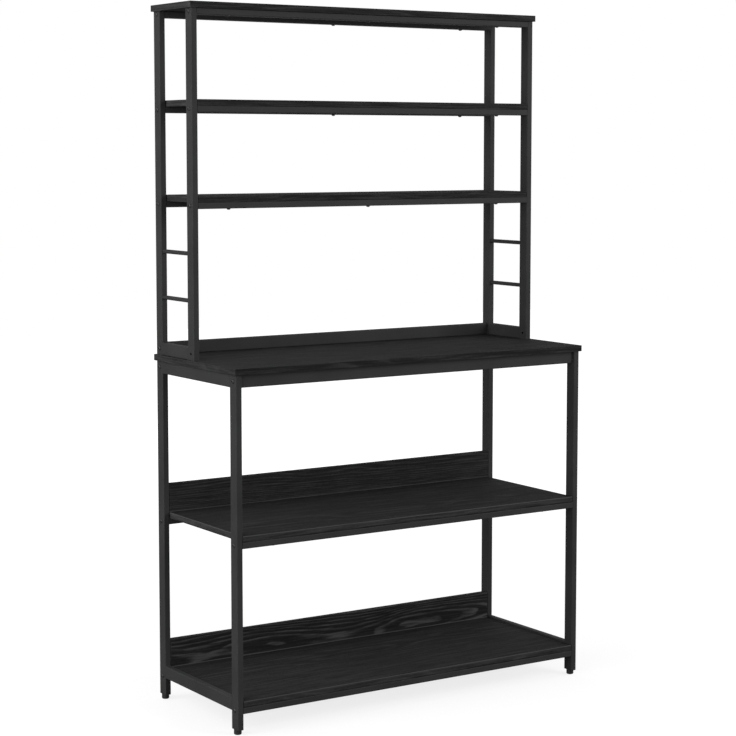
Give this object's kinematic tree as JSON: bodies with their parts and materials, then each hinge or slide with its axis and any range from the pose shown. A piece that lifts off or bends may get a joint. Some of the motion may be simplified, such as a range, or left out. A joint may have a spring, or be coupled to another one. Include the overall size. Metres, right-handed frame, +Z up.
{
  "type": "kitchen shelf",
  "caption": "Black steel kitchen rack with a counter over two deep shelves with back boards, and a shallower open hutch with hook bars at its ends.",
  "frame": {"origin": "on the floor, at the middle of the rack's footprint", "axes": "+X to the right seen from the front, +Y towards the rear, +Z up"},
  "size_m": [1, 0.4, 1.68],
  "materials": {
    "powder_coated_steel": "matt black powder coat",
    "black_oak_laminate": "black oak grain laminate on particle board",
    "black_fasteners": "black oxide",
    "zinc_plated_steel": "zinc plated",
    "black_plastic": "moulded, matt"
  },
  "bodies": {
    "rack": {"back_board_screws": "black_fasteners", "base_back_board": "black_oak_laminate", "base_front_rail": "powder_coated_steel", "base_left_rail": "powder_coated_steel", "base_rear_rail": "powder_coated_steel", "base_right_rail": "powder_coated_steel", "base_shelf_board": "black_oak_laminate", "counter_board": "black_oak_laminate", "counter_front_rail": "powder_coated_steel", "counter_left_rail": "powder_coated_steel", "counter_rear_rail": "powder_coated_steel", "counter_right_rail": "powder_coated_steel", "counter_screws": "black_fasteners", "frame_bolts": "black_fasteners", "hutch_front_bolts": "black_fasteners", "hutch_front_left_post": "powder_coated_steel", "hutch_front_right_post": "powder_coated_steel", "hutch_left_skirt": "powder_coated_steel", "hutch_rear_left_post": "powder_coated_steel", "hutch_rear_right_post": "powder_coated_steel", "hutch_rear_skirt": "powder_coated_steel", "hutch_rear_studs": "zinc_plated_steel", "hutch_right_skirt": "powder_coated_steel", "left_lower_hook_bar": "powder_coated_steel", "left_upper_hook_bar": "powder_coated_steel", "leg_plugs": "black_plastic", "lower_front_left_post": "powder_coated_steel", "lower_front_right_post": "powder_coated_steel", "lower_hutch_front_rail": "powder_coated_steel", "lower_hutch_rear_rail": "powder_coated_steel", "lower_hutch_shelf_board": "black_oak_laminate", "lower_rear_left_post": "powder_coated_steel", "lower_rear_right_post": "powder_coated_steel", "middle_back_board": "black_oak_laminate", "middle_front_rail": "powder_coated_steel", "middle_rear_rail": "powder_coated_steel", "middle_shelf_board": "black_oak_laminate", "post_end_blocks": "zinc_plated_steel", "rail_end_blocks": "zinc_plated_steel", "right_lower_hook_bar": "powder_coated_steel", "right_upper_hook_bar": "powder_coated_steel", "shelf_screws": "black_fasteners", "top_board": "black_oak_laminate", "top_front_rail": "powder_coated_steel", "top_rear_rail": "powder_coated_steel", "upper_hutch_front_rail": "powder_coated_steel", "upper_hutch_rear_rail": "powder_coated_steel", "upper_hutch_shelf_board": "black_oak_laminate"},
    "front_left_pad": {"front_left_foot_pad": "black_plastic"},
    "front_left_stud": {"front_left_foot_stud": "zinc_plated_steel"},
    "rear_left_pad": {"rear_left_foot_pad": "black_plastic"},
    "rear_left_stud": {"rear_left_foot_stud": "zinc_plated_steel"},
    "front_right_pad": {"front_right_foot_pad": "black_plastic"},
    "front_right_stud": {"front_right_foot_stud": "zinc_plated_steel"},
    "rear_right_pad": {"rear_right_foot_pad": "black_plastic"},
    "rear_right_stud": {"rear_right_foot_stud": "zinc_plated_steel"}
  },
  "joints": [
    {"name": "front_left_foot_height", "type": "slide", "parent": "rack", "child": "front_left_pad", "axis": [0, 0, -1], "range_m": [0, 0.01]},
    {"name": "front_left_foot_screw", "type": "hinge", "parent": "front_left_pad", "child": "front_left_stud", "pos_m": [-0.4875, -0.18, 0.004], "axis": [0, 0, -1], "range_deg": [0, 2880]},
    {"name": "rear_left_foot_height", "type": "slide", "parent": "rack", "child": "rear_left_pad", "axis": [0, 0, -1], "range_m": [0, 0.01]},
    {"name": "rear_left_foot_screw", "type": "hinge", "parent": "rear_left_pad", "child": "rear_left_stud", "pos_m": [-0.4875, 0.18, 0.004], "axis": [0, 0, -1], "range_deg": [0, 2880]},
    {"name": "front_right_foot_height", "type": "slide", "parent": "rack", "child": "front_right_pad", "axis": [0, 0, -1], "range_m": [0, 0.01]},
    {"name": "front_right_foot_screw", "type": "hinge", "parent": "front_right_pad", "child": "front_right_stud", "pos_m": [0.4875, -0.18, 0.004], "axis": [0, 0, -1], "range_deg": [0, 2880]},
    {"name": "rear_right_foot_height", "type": "slide", "parent": "rack", "child": "rear_right_pad", "axis": [0, 0, -1], "range_m": [0, 0.01]},
    {"name": "rear_right_foot_screw", "type": "hinge", "parent": "rear_right_pad", "child": "rear_right_stud", "pos_m": [0.4875, 0.18, 0.004], "axis": [0, 0, -1], "range_deg": [0, 2880]}
  ],
  "couplings": [
    {"joint": "front_left_foot_screw", "follows": "front_left_foot_height", "rad_per_m": 5026.5},
    {"joint": "rear_left_foot_screw", "follows": "rear_left_foot_height", "rad_per_m": 5026.5},
    {"joint": "front_right_foot_screw", "follows": "front_right_foot_height", "rad_per_m": 5026.5},
    {"joint": "rear_right_foot_screw", "follows": "rear_right_foot_height", "rad_per_m": 5026.5}
  ]
}
